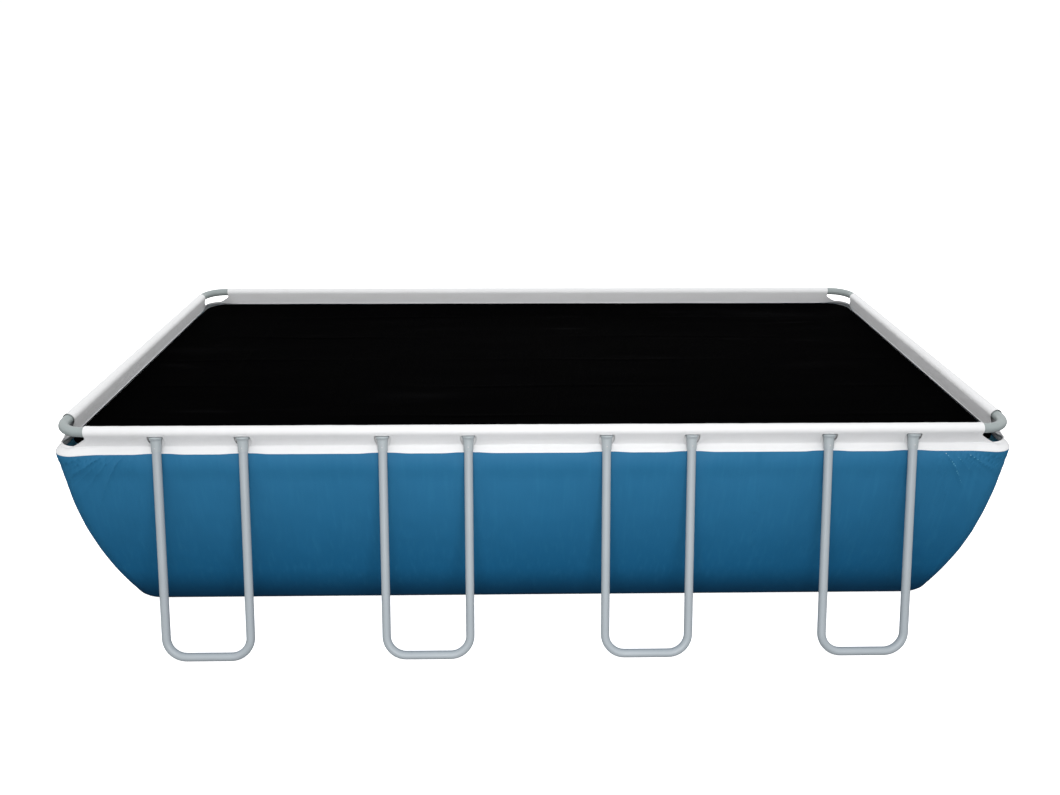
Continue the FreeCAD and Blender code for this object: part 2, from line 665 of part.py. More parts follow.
def main():
    os.makedirs("parts", exist_ok=True)

    hole = button_hole(BUTTON_CLEARANCE)
    elbows = {
        "elbow_front_left": (-1, -1),
        "elbow_front_right": (1, -1),
        "elbow_back_right": (1, 1),
        "elbow_back_left": (-1, 1),
    }
    elbow_cutters = []
    one_support = u_support()
    one_collar = collar()
    beam_button = spring_button(SWAGE_IN, BEAM_R + BUTTON_PROUD)
    collar_r = LEG_BORE + COLLAR_WALL
    leg_button = spring_button(LEG_R - LEG_WALL, collar_r + BUTTON_PROUD)
    leg_button.rotate(V(0, 0, 0), V(0, 0, 1), 90)

    layers = shell_layers()
    ports = {
        "inlet": seat(3, -PORT_OFFSET),
        "outlet": seat(0, PORT_OFFSET),
        "drain": seat(WALL_STRIPS - 1, 0),
    }
    port_cutters = []
    for name, (at, out) in ports.items():
        barrel = DRAIN_BARREL_R if name == "drain" else PORT_BARREL_R
        cutter = rod(barrel + PORT_HOLE_CLEARANCE, -PORT_FLANGE_R, PORT_FLANGE_R)
        port_cutters.append(placed(cutter, at, out))

    for side, (turn, length, depth, beams, supports) in SIDES.items():
        middles = bay_middles(length, supports) if supports else []
        legs = leg_places(middles)
        joints = joint_places(length, beams)
        locks = lock_places(length, beams)
        lock_cutters = [placed(hole, rail_point(x, depth), LEG_OUT) for x in locks]
        elbow_cutters += [on_side(lock_cutters[i], turn) for i in (0, -1)]

        for i in range(beams):
            tube = beam(joints[i], joints[i + 1], i < beams - 1, legs, depth)
            tube = tube.cut(lock_cutters)
            save(f"beam_{side}_{i + 1}", [on_side(tube, turn)])

        buttons = [placed(beam_button, rail_point(x, depth), LEG_OUT) for x in locks]
        collars = []
        inner_corner = V(-length / 2, -(depth / 2 - SLEEVE_CUT_INSET + COLLAR_BACK_CLEARANCE), 0)
        inner_side = Part.makeBox(length, POOL_HEIGHT, POOL_HEIGHT, inner_corner)
        inner_side = inner_side.cut(sleeve_section(depth, SHEET_T + COLLAR_BACK_CLEARANCE, length / 2))
        for x in legs:
            lock_at = rail_point(x, depth) + LEG_AXIS * BUTTON_DROP
            seat_collar = placed(one_collar, rail_point(x, depth), LEG_AXIS)
            collars.append(seat_collar.cut([placed(hole, lock_at, LEG_OUT), inner_side]))
            buttons.append(placed(leg_button, lock_at, LEG_OUT))
        for i, middle in enumerate(middles):
            support = one_support.copy()
            support.translate(rail_point(middle, depth))
            holes = []
            for s in (-1, 1):
                leg_top = rail_point(middle + s * LEG_SPACING / 2, depth)
                holes.append(placed(hole, leg_top + LEG_AXIS * BUTTON_DROP, LEG_OUT))
            support = support.cut(holes)
            save(f"u_support_{side}_{i + 1}", [on_side(support, turn)])
        if collars:
            save(f"leg_collars_{side}", [on_side(c, turn) for c in collars])
        save(f"spring_buttons_{side}", [on_side(b, turn) for b in buttons])
        save(f"rail_sleeve_{side}", [on_side(sleeve(length, depth, legs), turn)])

        cut = on_side(sector(length, depth), turn)
        band = layers[0].common(cut)
        panels = [layer.common(cut) for layer in layers[1:]]
        wall = panels[0].fuse(panels[1:])
        if side == "right":
            wall = wall.cut(port_cutters)
        save(f"top_band_{side}", [band])
        save(f"liner_wall_{side}", [wall])

    for name, (sx, sy) in elbows.items():
        save(name, [elbow(sx, sy).cut(elbow_cutters)])

    floor_inset = wall_profile(0)[-1][0]
    floor_wire = rounded_wire(
        POOL_LENGTH / 2 - floor_inset, POOL_WIDTH / 2 - floor_inset, corner_r(0, 0), 0
    )
    save("liner_floor", [Part.Face(floor_wire).extrude(V(0, 0, SHEET_T))])

    cover_wire = rounded_wire(
        POOL_LENGTH / 2 - COVER_INSET, POOL_WIDTH / 2 - COVER_INSET, COVER_CORNER_R, COVER_Z - COVER_T
    )
    save("floating_cover", [Part.Face(cover_wire).extrude(V(0, 0, COVER_T))])

    at, out = ports["inlet"]
    save("inlet_connector", [placed(port_connector(False), at, out)])
    save("inlet_nut", [placed(port_nut(), at, out)])
    save("inlet_grid", [placed(strainer_grid(), at, out)])
    washers = [placed(port_washer(), at, out)]
    at, out = ports["outlet"]
    save("outlet_connector", [placed(port_connector(True), at, out)])
    save("outlet_nut", [placed(port_nut(), at, out)])
    save("outlet_nozzle", [placed(nozzle(), at, out)])
    washers.append(placed(port_washer(), at, out))
    save("port_washers", washers)
    at, out = ports["drain"]
    save("drain_body", [placed(drain_body(), at, out)])
    save("drain_cap", [placed(drain_cap(), at, out)])
    save("drain_plug", [placed(drain_plug(), at, out)])

    for name, (at, out) in ports.items():
        print(name, "at", [round(c, 2) for c in at], "out", [round(c, 5) for c in out])
    print("ball centre", ball_height(), "lean", round(LEAN, 4))


main()
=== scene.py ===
import json
import math

import bpy
import numpy as np
from mathutils import Matrix, Vector


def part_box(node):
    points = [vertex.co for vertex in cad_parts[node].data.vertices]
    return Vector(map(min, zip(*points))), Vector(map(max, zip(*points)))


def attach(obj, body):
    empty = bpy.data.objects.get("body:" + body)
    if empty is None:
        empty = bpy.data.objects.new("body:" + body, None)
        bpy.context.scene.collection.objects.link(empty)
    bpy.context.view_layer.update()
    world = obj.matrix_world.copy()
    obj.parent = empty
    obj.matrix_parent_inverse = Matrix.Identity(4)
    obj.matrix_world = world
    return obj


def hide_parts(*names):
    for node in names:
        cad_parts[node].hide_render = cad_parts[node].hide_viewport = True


# Looks of a rectangular above-ground frame pool with its floating cover.
# Metres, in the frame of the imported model: +X along the long sides, the front long side faces -Y.

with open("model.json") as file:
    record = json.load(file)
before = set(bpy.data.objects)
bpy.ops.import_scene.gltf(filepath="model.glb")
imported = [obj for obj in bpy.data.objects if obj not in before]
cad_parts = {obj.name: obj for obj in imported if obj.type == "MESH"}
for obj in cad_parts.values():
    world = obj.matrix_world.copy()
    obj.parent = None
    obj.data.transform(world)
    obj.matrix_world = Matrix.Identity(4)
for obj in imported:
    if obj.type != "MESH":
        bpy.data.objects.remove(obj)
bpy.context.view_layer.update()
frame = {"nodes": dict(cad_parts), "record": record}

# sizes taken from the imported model
BEAM_LOW, BEAM_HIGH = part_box("beam_front_1")
SLEEVE_LOW, SLEEVE_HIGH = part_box("rail_sleeve_front")
SUPPORT_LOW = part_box("u_support_front_1")[0]
COVER_LOW, COVER_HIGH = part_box("floating_cover")
LENGTH = 2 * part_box("rail_sleeve_right")[1].x
WIDTH = -2 * SLEEVE_LOW.y
HEIGHT = SLEEVE_HIGH.z
SEAM_SAG = 0.012
SEAM_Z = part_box("top_band_front")[1].z - SEAM_SAG
BAND_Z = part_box("liner_wall_front")[1].z
AXIS_Z = (BEAM_LOW.z + BEAM_HIGH.z) / 2
SLEEVE_R = HEIGHT - AXIS_Z
SLEEVE_END = SLEEVE_HIGH.x
FLOOR_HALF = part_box("liner_floor")[1]

# sizes of the sheets and what is welded to them
SHEET = 0.0015
LEG_R = 0.0245
LEG_REACH = SUPPORT_LOW.y + WIDTH / 2 - SLEEVE_R + LEG_R
LEAN = math.atan2(-LEG_REACH, AXIS_Z - LEG_R)
SEAM_INSET = 0.0426
BELLY_INSET = 0.003
BELLY_Z = 1.0421
WALL_R = 2.780
FLOOR_FILLET = 0.100
CORNER_TOP = 0.100
CORNER_FLOOR = 0.150
FLARE_FREE = 0.017
FLARE_AT_LEG = 0.005
LIP = 0.032
LIP_REACH = 0.22
LIP_RISE = 0.014
CUT_OUT_R = 0.047
CUT_OUT_START = 0.0273
CUT_OUT_INSET = 0.044
SLEEVE_SHEET = 0.0012
PATCH_R = 0.062
PATCH_SHEET = 0.0010
PATCH_GAP = 0.0006
GUSSET = 0.125
GUSSET_RISE = 0.062
GUSSET_HOLLOW = 1.7
HEM = 0.026
HEM_PROUD = 0.0012
WELD_LAP = 0.005
SEALED = SHEET + 0.0002
BEAD_R = 0.0026
BEAD_STEP = 0.012
RIB_R = 0.001
RIB_STRETCH = (3.2, 0.9, 1.4)
RIB_PITCH = 0.0095
RIB_DOWN = 0.004
PORT_HOLE = 0.0285
DRAIN_HOLE = 0.0205
COVER_LAP = 0.016
COVER_CORNER = 0.15
WATER_LINE = 1.130

# how far down the flare between legs and the corner's lip have died out
FLARE_FADE = 0.19
LIP_FADE = 0.13

# how far from a leg the sheet starts to be free, and how soon it is
LEG_HOLD = 0.040
LEG_FREE = 0.11

# where the wall is loose below the band, and how far round a port it is held flat
LOOSE_DOWN = 0.75
LOOSE_FADE = 0.30
PORT_HOLD = 0.050
PORT_FREE = 0.06

# creases at a corner: the point they fan out from, how far they reach and their heights
CREASE_ALONG = 0.44
CREASE_ABOVE = 0.13
CREASE_FULL = 0.20
CREASE_FADE = 0.50
CREASE_DEEP = 0.0065
CREASE_FINE = 0.0030

# heights of the sheets' unevenness
BILLOW = 0.0022
PUCKER = 0.0009
WELD_PROUD = 0.0011
FLOOR_WELD_PROUD = 0.0010
PORT_DENT = 0.0016
SLEEVE_RIPPLE = 0.0006
FLOOR_RIPPLE = 0.0016
COVER_SWELL = 0.0030
COVER_PUCKER = 0.0016
COVER_CURL = 0.0030
SOFT_EDGE = 0.003

# upright weld of a long wall: where it meets the band, and how far it slants along per metre down
WELD_X = 1.255
WELD_SLANT = 0.10
WELD_WIDTH = 0.022
FLOOR_WELD_WIDTH = 0.024

# folds of the cover: their places across its width and along its length, rises and half widths
FOLDS_ALONG = (-0.93, -0.46, 0.02, 0.49, 0.95)
FOLDS_ACROSS = (-2.02, -1.31, -0.68, 0.03, 0.71, 1.36, 1.98)
LONG_FOLD_RISE = 0.0042
LONG_FOLD_HALF = 0.014
CROSS_FOLD_RISE = 0.0034
CROSS_FOLD_HALF = 0.013

# largest steps of the meshes, and how far from a sleeve's end and a leg's middle the fine ones go
FINE = 0.010
COARSE = 0.026
SLEEVE_FINE = 0.006
SLEEVE_COARSE = 0.024
FINE_AT_END = 0.04
FINE_AT_LEG = 0.075

# the studio camera
CAMERA_PLACE = (-0.131, -5.725, 3.434)
CAMERA_PITCH = 0.4172
CAMERA_YAW = 0.0198
CAMERA_ROLL = 0.0041
CAMERA_LENS = 29.284


# ---------------------------------------------------------------- node trees


class Link:
    """One output of a node. Sums and products of numbers add Math nodes."""

    def __init__(self, maker, socket):
        self.maker = maker
        self.socket = socket

    def __add__(self, other):
        return self.maker.maths("ADD", self, other)

    def __mul__(self, other):
        return self.maker.maths("MULTIPLY", self, other)

    def __rsub__(self, other):
        return self.maker.maths("SUBTRACT", other, self)

    __radd__ = __add__
    __rmul__ = __mul__

    def ease(self, low, high):
        """0 below low and 1 above high, with a smooth step between."""
        values = {"Value": self, "From Min": low, "From Max": high}
        return self.maker.node("ShaderNodeMapRange", {"interpolation_type": "SMOOTHSTEP"}, values)


class Maker:
    """Adds nodes to one tree."""

    def __init__(self, tree):
        self.tree = tree

    def node(self, kind, settings=None, values=None, output=0):
        made = self.tree.nodes.new(kind)
        for key, value in (settings or {}).items():
            setattr(made, key, value)
        for key, value in (values or {}).items():
            self.feed(made.inputs[key], value)
        return Link(self, made.outputs[output])

    def feed(self, socket, value):
        if isinstance(value, Link):
            self.tree.links.new(value.socket, socket)
        else:
            socket.default_value = value

    def maths(self, operation, first, second=0.0):
        return self.node("ShaderNodeMath", {"operation": operation}, {0: first, 1: second})


class Finish(Maker):
    """One procedural material on a Principled shader."""

    def __init__(self, name, **fixed):
        self.material = bpy.data.materials.new(name)
        self.material.use_nodes = True
        super().__init__(self.material.node_tree)
        self.shader = next(n for n in self.tree.nodes if n.type == "BSDF_PRINCIPLED")
        for key, value in fixed.items():
            self.shader.inputs[key.replace("_", " ")].default_value = value
        self.place = self.node("ShaderNodeTexCoord", output="Object")

    def at(self, scale=(1, 1, 1), shift=(0, 0, 0)):
        values = {"Vector": self.place, "Scale": scale, "Location": shift}
        return self.node("ShaderNodeMapping", None, values)

    def cloud(self, scale, detail=3.0, stretch=(1, 1, 1), shift=(0, 0, 0)):
        """Soft noise from 0 to 1, its grains 1 / scale metres across."""
        values = {"Vector": self.at(stretch, shift), "Scale": scale, "Detail": detail}
        return self.node("ShaderNodeTexNoise", None, values)

    def mix(self, share, first, second):
        values = {0: share, 6: first, 7: second}
        return self.node("ShaderNodeMix", {"data_type": "RGBA"}, values, output=2)

    def axis(self, name):
        return self.node("ShaderNodeSeparateXYZ", None, {0: self.place}, output=name)

    def bump(self, height, depth):
        values = {"Height": height, "Distance": depth, "Strength": 1.0}
        return self.node("ShaderNodeBump", None, values)

    def wear(self, colour, roughness, normal=None):
        """Feeds the shader what varies over the surface and hands back the material."""
        self.feed(self.shader.inputs["Base Color"], colour)
        self.feed(self.shader.inputs["Roughness"], roughness)
        if normal is not None:
            self.feed(self.shader.inputs["Normal"], normal)
        return self.material


def shade(red, green, blue):
    return (red, green, blue, 1.0)


# ---------------------------------------------------------------- finishes


def scrim(finish, pitch):
    """Faint squares of the polyester mesh inside a laminated sheet."""
    wave = 2 * math.pi / pitch
    threads = 0.0
    for name in "XYZ":
        threads = finish.maths("ABSOLUTE", finish.maths("SINE", finish.axis(name) * wave)) + threads
    return threads


def white_laminate():
    finish = Finish("white_laminate", Specular_IOR_Level=0.35)
    cloudy = finish.cloud(2.2, 4.0)
    grime = finish.cloud(9.0, 5.0, stretch=(1, 1, 0.35), shift=(3, 1, 0)).ease(0.55, 0.85) * 0.35
    clean = finish.mix(cloudy, shade(0.815, 0.818, 0.828), shade(0.77, 0.775, 0.785))
    colour = finish.mix(grime, clean, shade(0.72, 0.72, 0.70))
    creases = finish.cloud(26.0, 4.0, shift=(0, 5, 2))
    height = scrim(finish, 0.0024) * 0.10 + creases
    rough = 0.36 + 0.16 * finish.cloud(14.0)
    return finish.wear(colour, rough, finish.bump(height, 0.0009))


def blue_laminate():
    finish = Finish("blue_laminate", Specular_IOR_Level=0.14)
    # painted shade: the wall is coloured lighter near the top and darker towards the floor,
    # standing in for the shade where the wall curves under
    high = finish.axis("Z").ease(0.0, 1.1)
    mottle = finish.cloud(1.4, 4.0, stretch=(1, 1, 0.45))
    top = finish.mix(mottle, shade(0.024, 0.158, 0.308), shade(0.017, 0.132, 0.268))
    low = finish.mix(mottle, shade(0.008, 0.112, 0.250), shade(0.005, 0.090, 0.210))
    colour = finish.mix(high, low, top)
    streaks = finish.cloud(7.0, 3.0, stretch=(6, 6, 0.4)).ease(0.45, 0.9) * 0.22
    colour = finish.mix(streaks, colour, shade(0.034, 0.205, 0.375))
    # painted shade: colour darkened over the lowest 0.34 m of the wall, where it turns under
    # towards the floor
    painted_shade_near_floor = (1 - finish.axis("Z").ease(0.0, 0.34)) * (0.82 + 0.15 * finish.cloud(3.0))
    colour = finish.mix(painted_shade_near_floor, colour, shade(0.002, 0.022, 0.055))
    height = scrim(finish, 0.0026) * 0.10 + finish.cloud(20.0, 4.0, stretch=(1, 1, 0.5))
    rough = 0.40 + 0.22 * finish.cloud(6.0, 4.0)
    return finish.wear(colour, rough, finish.bump(height, 0.0011))


def water_side_laminate():
    """Face of the liner towards the water: lighter blue, and white above the water line."""
    finish = Finish("water_side_laminate", Specular_IOR_Level=0.35)
    mottle = finish.cloud(3.0, 4.0)
    colour = finish.mix(mottle, shade(0.130, 0.420, 0.600), shade(0.085, 0.330, 0.500))
    above_water = finish.axis("Z").ease(WATER_LINE, WATER_LINE + 0.004)
    white = finish.mix(mottle, shade(0.80, 0.81, 0.82), shade(0.74, 0.75, 0.76))
    colour = finish.mix(above_water, colour, white)
    height = scrim(finish, 0.0026) * 0.10 + finish.cloud(24.0, 3.0)
    return finish.wear(colour, 0.34 + 0.18 * mottle, finish.bump(height, 0.0008))


def bubble_film():
    """Black bubble film: domes in rows, and faint pale streaks and scuffs along its folds, painted
    into its colour partly as dust and scuffs and partly as a painted sheen.
    """
    finish = Finish("bubble_film", Specular_IOR_Level=0.003)
    domes = {"Vector": finish.at(), "Scale": 1 / 0.011, "Randomness": 0.12}
    dome = finish.node("ShaderNodeTexVoronoi", None, domes)
    bubble = 1 - dome.ease(0.15, 0.55)
    dust_and_sheen_streaks = finish.cloud(1.3, 6.0, stretch=(0.45, 2.4, 1), shift=(1.7, 0.4, 0)).ease(0.55, 0.80)
    scuff_and_sheen = finish.cloud(5.0, 8.0, stretch=(0.18, 1.6, 1), shift=(0.3, 2.0, 0)).ease(0.62, 0.86)
    # pale marks in the colour: partly dust and scuffs, partly a painted sheen standing in for
    # reflections on the film
    dust_and_sheen = dust_and_sheen_streaks * 0.35 + scuff_and_sheen * 0.65
    colour = finish.mix(dust_and_sheen, shade(0.0002, 0.0002, 0.0003), shade(0.0050, 0.0050, 0.0055))
    rough = 0.80 - 0.18 * scuff_and_sheen
    return finish.wear(colour, rough, finish.bump(bubble, 0.0012))


def film_edge():
    """Blue underside of the film, seen along its cut edge."""
    finish = Finish("film_edge", Specular_IOR_Level=0.25)
    colour = finish.mix(finish.cloud(30.0), shade(0.16, 0.46, 0.60), shade(0.10, 0.36, 0.50))
    return finish.wear(colour, 0.5 + 0.1 * finish.cloud(12.0))


def powder_coat(name, light, dark, gloss):
    """Sprayed and baked paint: fine orange peel, small scuffs and a dull bloom."""
    finish = Finish(name, Specular_IOR_Level=0.40)
    bloom = finish.cloud(5.0, 4.0)
    colour = finish.mix(bloom, light, dark)
    scuffs = finish.cloud(60.0, 6.0, stretch=(1, 1, 0.15)).ease(0.66, 0.80) * 0.30
    colour = finish.mix(scuffs, colour, shade(0.36, 0.37, 0.38))
    peel = finish.cloud(420.0, 2.0)
    rough = gloss + 0.14 * finish.cloud(22.0, 5.0)
    return finish.wear(colour, rough, finish.bump(peel, 0.00025))


def moulded_plastic(name, light, dark, gloss):
    """Injection-moulded plastic with a fine spark-eroded grain and flow marks."""
    finish = Finish(name, Specular_IOR_Level=0.40)
    flow = finish.cloud(14.0, 3.0, stretch=(1, 1, 0.4))
    grain = finish.cloud(900.0, 1.0)
    rough = gloss + 0.12 * finish.cloud(40.0)
    return finish.wear(finish.mix(flow, light, dark), rough, finish.bump(grain, 0.00012))


def turned_steel():
    finish = Finish("turned_steel", Metallic=1.0)
    turning = finish.cloud(500.0, 2.0, stretch=(1, 1, 6))
    colour = finish.mix(turning, shade(0.62, 0.62, 0.63), shade(0.45, 0.45, 0.46))
    return finish.wear(colour, 0.28 + 0.15 * turning, finish.bump(turning, 0.00008))


def washer_rubber():
    finish = Finish("washer_rubber", Specular_IOR_Level=0.30)
    bloom = finish.cloud(80.0, 4.0)
    colour = finish.mix(bloom, shade(0.020, 0.020, 0.021), shade(0.040, 0.039, 0.038))
    return finish.wear(colour, 0.62 + 0.2 * bloom, finish.bump(bloom, 0.0002))


# ---------------------------------------------------------------- shapes


def ease(x):
    """0 below 0, 1 above 1, and a smooth step between."""
    x = np.clip(x, 0, 1)
    return x * x * (3 - 2 * x)


def ripple(points, size, seed, stretch=(1, 1, 1)):
    """Soft unevenness from -1 to 1, its waves about size long."""
    chance = np.random.RandomState(seed)
    total = 0.0
    for _ in range(7):
        heading = chance.normal(size=3) / np.array(stretch)
        heading /= np.linalg.norm(heading)
        wave = 2 * math.pi / (size * chance.uniform(0.6, 1.5))
        total = total + np.sin(points @ heading * wave + chance.uniform(0, 2 * math.pi))
    return total / 4


class Side:
    """One side of the pool; its shapes are worked out facing -Y and then turned."""

    def __init__(self, name, turn, length, depth):
        self.name = name
        self.turn = turn
        self.length = length
        self.depth = depth
        self.straight = length / 2 - SEAM_INSET - CORNER_TOP
        self.reach = self.straight + CORNER_TOP * math.pi / 4
        self.sleeve = length / 2 - (LENGTH / 2 - SLEEVE_END)
        along = Vector((math.cos(math.radians(turn)), math.sin(math.radians(turn)), 0))
        self.legs = []
        for node in sorted(frame["nodes"]):
            if node.startswith("u_support_" + name):
                low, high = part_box(node)
                middle = ((low + high) / 2).dot(along)
                half = abs((high - low).dot(along)) / 2 - LEG_R
                self.legs += [middle - half, middle + half]

    def turned(self, points):
        angle = math.radians(self.turn)
        x = points[..., 0] * math.cos(angle) - points[..., 1] * math.sin(angle)
        y = points[..., 0] * math.sin(angle) + points[..., 1] * math.cos(angle)
        return np.stack([x, y, points[..., 2]], axis=-1)

    def gap_to_leg(self, x):
        """Distance along the side to the nearest leg, or the side's length where it has none."""
        gaps = [np.abs(x - leg) for leg in self.legs]
        return np.min(gaps + [np.full_like(x, self.length)], axis=0)


SIDES = [
    Side("front", 0, LENGTH, WIDTH),
    Side("right", 90, WIDTH, LENGTH),
    Side("back", 180, LENGTH, WIDTH),
    Side("left", 270, WIDTH, LENGTH),
]

# the liner's outline from the side: an arc under the seam, the long wall arc and the floor fillet
TOP_RISE = SEAM_Z - BELLY_Z
TOP_R = (TOP_RISE ** 2 + (SEAM_INSET - BELLY_INSET) ** 2) / (2 * (SEAM_INSET - BELLY_INSET))
TOP_TURN = math.asin(TOP_RISE / TOP_R)
FILLET_DZ = BELLY_Z - FLOOR_FILLET
FILLET_DX = math.sqrt((WALL_R - FLOOR_FILLET) ** 2 - FILLET_DZ ** 2)
WALL_TURN = math.atan2(FILLET_DZ, FILLET_DX)
FILLET_INSET = WALL_R + BELLY_INSET - FILLET_DX
TOP_RUN = TOP_R * TOP_TURN
WALL_RUN = WALL_R * WALL_TURN
FILLET_RUN = FLOOR_FILLET * (math.pi / 2 - WALL_TURN)
LINER_RUN = TOP_RUN + WALL_RUN + FILLET_RUN
BAND_RUN = TOP_R * (TOP_TURN - math.asin((BAND_Z - BELLY_Z) / TOP_R))


def liner_outline(down):
    """Inset from the rail's outside and height, down metres along the sheet from its seam."""
    top = TOP_TURN - down / TOP_R
    wall = (down - TOP_RUN) / WALL_R
    fillet = np.minimum(WALL_TURN + (down - TOP_RUN - WALL_RUN) / FLOOR_FILLET, math.pi / 2)
    in_top = down < TOP_RUN
    top_inset = TOP_R + BELLY_INSET - TOP_R * np.cos(top)
    wall_inset = WALL_R + BELLY_INSET - WALL_R * np.cos(wall)
    inset = np.where(in_top, top_inset, wall_inset)
    height = np.where(in_top, BELLY_Z + TOP_R * np.sin(top), BELLY_Z - WALL_R * np.sin(wall))
    in_fillet = down > TOP_RUN + WALL_RUN
    inset = np.where(in_fillet, FILLET_INSET - FLOOR_FILLET * np.cos(fillet), inset)
    height = np.where(in_fillet, FLOOR_FILLET - FLOOR_FILLET * np.sin(fillet), height)
    return inset, height


def corner_creases(to_corner, below):
    """Folds that fan out from beside the sleeve's end down towards the corner."""
    across = CREASE_ALONG - to_corner
    drop = below + CREASE_ABOVE
    angle = np.arctan2(across, drop)
    spread = np.hypot(across, drop)
    fold = 1 - np.abs(np.sin(angle * 10.5 + 0.9 * np.sin(angle * 4.1)))
    fine = 1 - np.abs(np.sin(angle * 23.0 + 1.7 * np.sin(angle * 6.3) + 0.8))
    near_corner = ease((0.50 - to_corner) / 0.25)
    fading = 1 - ease((spread - CREASE_FULL) / CREASE_FADE)
    strength = ease(below / 0.03) * fading * near_corner
    return (CREASE_DEEP * fold ** 2 + CREASE_FINE * fine ** 3) * strength


def from_line(points, start, way):
    """Distance from the line through start, and how far along it each point lies."""
    offset = points - start
    along = offset @ way
    return np.linalg.norm(offset - along[..., None] * way, axis=-1), along


def port_axis(inner, outer):
    """Inner end and outward direction of one fitting in the right wall."""
    start, end = [sum(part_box(node), Vector()) / 2 for node in (inner, outer)]
    return np.array(start), np.array((end - start).normalized())


PORTS = [
    port_axis("inlet_grid", "inlet_nut"),
    port_axis("outlet_nozzle", "outlet_nut"),
    port_axis("drain_plug", "drain_cap"),
]


def port_gap(points, holes=(0, 0, 0)):
    """Distance from the nearest port's axis, or from its hole where holes gives their radii."""
    return np.min([from_line(points, *axis)[0] - hole for axis, hole in zip(PORTS, holes)], axis=0)


def liner_points(side, across, down, lift=0.0):
    """The liner's outer face on one side; across runs along the seam between corner middles."""
    inset, height = liner_outline(down)
    radius = CORNER_FLOOR + (CORNER_TOP - CORNER_FLOOR) * height / SEAM_Z
    half = side.length / 2 - inset - radius
    share = np.minimum(np.abs(across), side.straight) / side.straight
    bend = np.maximum(np.abs(across) - side.straight, 0) / CORNER_TOP
    hand = np.sign(across)
    x = hand * (half * share + radius * np.sin(bend))
    y = -(side.depth / 2 - inset - radius + radius * np.cos(bend))
    to_corner = half * (1 - share) + radius * np.abs(math.pi / 4 - bend)
    below = down - BAND_RUN
    still = side.turned(np.stack([x, y, height], axis=-1))

    from_leg = ease((side.gap_to_leg(x) - LEG_HOLD) / LEG_FREE)
    flare = FLARE_AT_LEG + (FLARE_FREE - FLARE_AT_LEG) * from_leg
    swell = flare * ease(down / BAND_RUN) * (1 - ease(below / FLARE_FADE))
    swell += LIP * ease(1 - to_corner / LIP_REACH) * (1 - ease(down / LIP_FADE))
    swell += corner_creases(to_corner, below)
    loose = ease(below / 0.04) * (1 - ease((below - LOOSE_DOWN) / LOOSE_FADE))
    swell += BILLOW * loose * from_leg * ripple(still, 0.34, 3)
    swell += PUCKER * loose * ripple(still, 0.11, 5, stretch=(1, 1, 4))
    if side.name in ("front", "back"):
        weld = WELD_X + WELD_SLANT * (SEAM_Z - height)
        lapped = ease(below / 0.01) * ease(height / 0.05)
        in_weld = ease((WELD_WIDTH / 2 - np.abs(x - weld)) / SOFT_EDGE + 0.5)
        swell += WELD_PROUD * in_weld * lapped
    from_floor_weld = np.abs(down - LINER_RUN + FILLET_RUN)
    in_floor_weld = ease((FLOOR_WELD_WIDTH / 2 - from_floor_weld) / SOFT_EDGE + 0.5)
    swell += FLOOR_WELD_PROUD * in_floor_weld
    if side.name == "right":
        quiet = ease((port_gap(still) - PORT_HOLD) / PORT_FREE)
        swell = swell * quiet - PORT_DENT * (1 - quiet)
    swell += lift
    upright = np.cos(np.clip((down - TOP_RUN) / WALL_R, 0, WALL_TURN))
    out = np.stack([hand * np.sin(bend), -np.cos(bend), np.zeros_like(bend + height)], axis=-1)
    tilt = np.sqrt(1 - upright ** 2)
    out = out * upright[..., None]
    out[..., 2] -= tilt
    return np.stack([x, y, height], axis=-1) + out * swell[..., None]


def sleeve_outline(side, s):
    """Section of the sleeve from the seam up the water side, over the rail and down outside.

    Hands back its points, how far each hangs from the rail, its outward ways and its length."""
    centre = np.array([-(side.depth / 2 - SLEEVE_R), AXIS_Z])
    seam = np.array([-(side.depth / 2 - SEAM_INSET - SHEET / 2), SEAM_Z])
    reach = np.linalg.norm(centre - seam)
    flap = math.sqrt(reach ** 2 - SLEEVE_R ** 2)
    spread = math.acos(SLEEVE_R / reach)
    towards = math.atan2(seam[1] - centre[1], seam[0] - centre[0])
    wrap = 2 * math.pi - 2 * spread
    whole = 2 * flap + SLEEVE_R * wrap
    s = s * whole
    angle = towards + spread + np.clip((s - flap) / SLEEVE_R, 0, wrap)
    out = np.stack([np.cos(angle), np.sin(angle)], axis=-1)
    ring = centre + SLEEVE_R * out
    hang = np.maximum(np.maximum(1 - s / flap, 1 - (whole - s) / flap), 0)
    return ring + (seam - ring) * hang[..., None], hang, out, whole


def sleeve_points(side, x, s, lift=0.0):
    """The sleeve's outer face; past its ends only a gusset runs on along the seam."""
    section, hang, out, _ = sleeve_outline(side, s)
    still = side.turned(np.stack([x, section[..., 0], section[..., 1]], axis=-1))
    past = np.abs(x) - side.sleeve
    proud = lift + HEM_PROUD * ease((past + HEM) / SOFT_EDGE + 0.5) * (1 - hang)
    uneven = ripple(still, 0.07, 11, stretch=(3, 1, 1))
    proud = proud + SLEEVE_RIPPLE * uneven * ease(side.gap_to_leg(x) / 0.10)
    lip = LIP * ease(1 - (side.length / 2 - SEAM_INSET - np.abs(x)) / LIP_REACH) * hang
    y = section[..., 0] + out[..., 0] * proud - lip
    z = section[..., 1] + out[..., 1] * proud
    return np.stack([x, y, z], axis=-1)


def from_cut_out(side, points):
    """Distance outside the hole round the nearest leg, negative inside it."""
    down = np.array([0, -math.sin(LEAN), -math.cos(LEAN)])
    inner_flap = points[..., 1] + side.depth / 2 - CUT_OUT_INSET
    nearest = np.full(points.shape[:-1], side.length)
    for leg in side.legs:
        top = np.array([leg, -(side.depth / 2 - SLEEVE_R), AXIS_Z])
        away, along = from_line(points, top, down)
        gap = np.maximum(np.maximum(away - CUT_OUT_R, CUT_OUT_START - along), inner_flap)
        nearest = np.minimum(nearest, gap)
    return nearest


